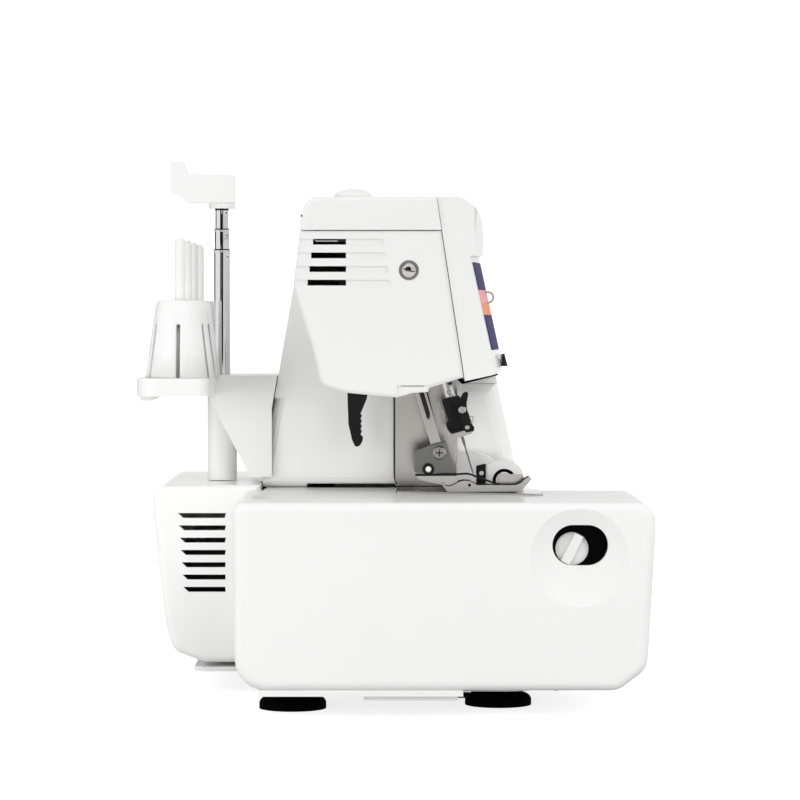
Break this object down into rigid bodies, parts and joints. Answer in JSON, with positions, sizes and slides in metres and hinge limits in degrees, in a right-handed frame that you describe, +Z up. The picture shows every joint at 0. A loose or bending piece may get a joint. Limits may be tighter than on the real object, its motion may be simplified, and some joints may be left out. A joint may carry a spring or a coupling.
{
  "type": "serger overlock machine",
  "caption": "Home overlock sewing machine: free arm with flat bed attachment, leaning needle and presser bars, thread stand with telescopic rod and tension dials.",
  "frame": {"origin": "under the middle of the whole machine, at the underside of its feet", "axes": "+X is the machine's right as its user sits at it, +Y is its rear, +Z is up"},
  "size_m": [0.33, 0.287, 0.3058],
  "materials": {
    "white_shell": "glossy moulded",
    "pale_plastic": "glossy moulded",
    "black_plastic": "satin moulded",
    "rubber_foot": "matt",
    "polished_steel": "polished",
    "chrome_rod": "mirror",
    "cast_frame": "as cast",
    "bush_metal": "turned",
    "strip": "printed colours",
    "dial_green": "glossy",
    "dial_pink": "glossy",
    "dial_blue": "glossy",
    "dial_yellow": "glossy",
    "lamp_lens": "translucent"
  },
  "bodies": {
    "machine": {"base_plate": "pale_plastic", "feet": "rubber_foot", "foot_screws": "polished_steel", "lower_body": "white_shell", "rear_cover": "white_shell", "arm_cover": "white_shell", "top_cover": "white_shell", "side_cover": "white_shell", "side_cover_screw": "polished_steel", "front_panel": "white_shell", "colour_strip": "strip", "right_cover": "white_shell", "free_arm": "pale_plastic", "frame_plate": "cast_frame", "shaft_bushes": "bush_metal", "motor": "black_plastic", "drive_belt": "rubber_foot", "needle_plate": "polished_steel", "steel_side_panel": "polished_steel", "needle_bar_frame": "cast_frame", "knife_guard": "white_shell", "lower_knife": "polished_steel", "power_inlet": "black_plastic", "spool_tray": "pale_plastic", "spool_pins": "pale_plastic", "cone_holders": "pale_plastic", "rod_outer": "chrome_rod", "thread_guides": "polished_steel", "work_lamp": "lamp_lens"},
    "drive_shaft": {"main_shaft": "polished_steel", "handwheel": "white_shell"},
    "motor_pulley": {"motor_pulley": "polished_steel"},
    "needle_bar": {"needle_bar": "polished_steel", "needle_clamp": "black_plastic", "clamp_screws": "polished_steel", "needles": "polished_steel"},
    "presser_bar": {"presser_bar": "polished_steel", "foot_ankle": "polished_steel", "foot_screw": "polished_steel"},
    "presser_foot": {"presser_foot": "polished_steel", "foot_pin": "black_plastic"},
    "presser_lever": {"presser_lever": "black_plastic"},
    "bed_cover": {"bed_cover": "white_shell"},
    "looper_cover": {"looper_cover": "white_shell"},
    "stitch_width_knob": {"stitch_width_knob": "pale_plastic"},
    "tension_dial_1": {"tension_dial_1": "dial_green"},
    "tension_dial_2": {"tension_dial_2": "dial_pink"},
    "tension_dial_3": {"tension_dial_3": "dial_blue"},
    "tension_dial_4": {"tension_dial_4": "dial_yellow"},
    "stitch_length_dial": {"stitch_length_dial": "pale_plastic"},
    "differential_lever": {"differential_lever": "black_plastic"},
    "power_switch": {"power_switch": "black_plastic"},
    "rod_middle": {"rod_middle": "chrome_rod"},
    "rod_top": {"rod_top": "chrome_rod"},
    "thread_tree": {"thread_tree": "pale_plastic"},
    "upper_looper": {"upper_looper": "polished_steel"},
    "lower_looper": {"lower_looper": "polished_steel"},
    "feed_dogs": {"feed_dogs": "polished_steel"},
    "upper_knife": {"upper_knife": "black_plastic"},
    "pressure_knob": {"pressure_knob": "pale_plastic"}
  },
  "joints": [
    {"name": "handwheel_turn", "type": "hinge", "parent": "machine", "child": "drive_shaft", "pos_m": [0, 0.012, 0.078], "axis": [1, 0, 0], "continuous": true},
    {"name": "motor_turn", "type": "hinge", "parent": "machine", "child": "motor_pulley", "pos_m": [0, 0.104, 0.062], "axis": [1, 0, 0], "continuous": true},
    {"name": "needle_bar_slide", "type": "slide", "parent": "machine", "child": "needle_bar", "axis": [0, 0.2857, 0.9583], "range_m": [-0.02, 0.003]},
    {"name": "presser_bar_slide", "type": "slide", "parent": "machine", "child": "presser_bar", "axis": [0, 0.2857, 0.9583], "range_m": [0, 0.006]},
    {"name": "presser_foot_tilt", "type": "hinge", "parent": "presser_bar", "child": "presser_foot", "pos_m": [-0.071, -0.021, 0.1313], "axis": [1, 0, 0], "range_deg": [-2.5, 0]},
    {"name": "presser_lever_lift", "type": "hinge", "parent": "machine", "child": "presser_lever", "pos_m": [-0.042, 0.013, 0.198], "axis": [1, 0, 0], "range_deg": [0, 60]},
    {"name": "bed_cover_slide", "type": "slide", "parent": "machine", "child": "bed_cover", "axis": [-1, 0, 0], "range_m": [0, 0.11]},
    {"name": "looper_cover_open", "type": "hinge", "parent": "machine", "child": "looper_cover", "pos_m": [0.05, -0.108, 0.022], "axis": [1, 0, 0], "range_deg": [0, 85]},
    {"name": "stitch_width_turn", "type": "hinge", "parent": "machine", "child": "stitch_width_knob", "pos_m": [-0.15, -0.0985, 0.0917], "axis": [1, 0, 0], "range_deg": [-120, 120]},
    {"name": "tension_dial_1_turn", "type": "hinge", "parent": "machine", "child": "tension_dial_1", "pos_m": [-0.05, -0.03817, 0.228], "axis": [1, 0, 0], "range_deg": [-150, 150]},
    {"name": "tension_dial_2_turn", "type": "hinge", "parent": "machine", "child": "tension_dial_2", "pos_m": [-0.008, -0.03817, 0.228], "axis": [1, 0, 0], "range_deg": [-150, 150]},
    {"name": "tension_dial_3_turn", "type": "hinge", "parent": "machine", "child": "tension_dial_3", "pos_m": [0.034, -0.03817, 0.228], "axis": [1, 0, 0], "range_deg": [-150, 150]},
    {"name": "tension_dial_4_turn", "type": "hinge", "parent": "machine", "child": "tension_dial_4", "pos_m": [0.076, -0.03817, 0.228], "axis": [1, 0, 0], "range_deg": [-150, 150]},
    {"name": "stitch_length_turn", "type": "hinge", "parent": "machine", "child": "stitch_length_dial", "pos_m": [0.14, -0.05, 0.092], "axis": [1, 0, 0], "range_deg": [-140, 140]},
    {"name": "differential_turn", "type": "hinge", "parent": "machine", "child": "differential_lever", "pos_m": [0.118, -0.05, 0.044], "axis": [0, 1, 0], "range_deg": [-18, 18]},
    {"name": "power_switch_rock", "type": "hinge", "parent": "machine", "child": "power_switch", "pos_m": [0.134, 0.06, 0.034], "axis": [0, 1, 0], "range_deg": [0, 12]},
    {"name": "rod_middle_slide", "type": "slide", "parent": "machine", "child": "rod_middle", "axis": [0, 0, 1], "range_m": [0, 0.072]},
    {"name": "rod_top_slide", "type": "slide", "parent": "rod_middle", "child": "rod_top", "axis": [0, 0, 1], "range_m": [0, 0.072]},
    {"name": "thread_tree_turn", "type": "hinge", "parent": "rod_top", "child": "thread_tree", "pos_m": [0.012, 0.1012, 0.29], "axis": [0, 0, 1], "range_deg": [-12, 12]},
    {"name": "upper_looper_rock", "type": "hinge", "parent": "machine", "child": "upper_looper", "pos_m": [-0.046, -0.06, 0.052], "axis": [0, 1, 0], "range_deg": [-8, 8]},
    {"name": "lower_looper_rock", "type": "hinge", "parent": "machine", "child": "lower_looper", "pos_m": [-0.06, -0.06, 0.052], "axis": [0, 1, 0], "range_deg": [-8, 8]},
    {"name": "feed_dogs_slide", "type": "slide", "parent": "machine", "child": "feed_dogs", "axis": [0, 1, 0], "range_m": [-0.002, 0.002]},
    {"name": "upper_knife_slide", "type": "slide", "parent": "machine", "child": "upper_knife", "axis": [0, 0, 1], "range_m": [-0.003, 0.004]},
    {"name": "pressure_turn", "type": "hinge", "parent": "machine", "child": "pressure_knob", "pos_m": [-0.058, 0.022, 0.28], "axis": [0, 0, 1], "range_deg": [-180, 180]}
  ],
  "couplings": [
    {"joint": "motor_turn", "follows": "handwheel_turn", "ratio": 4},
    {"joint": "presser_lever_lift", "follows": "presser_bar_slide", "rad_per_m": 174.53}
  ]
}
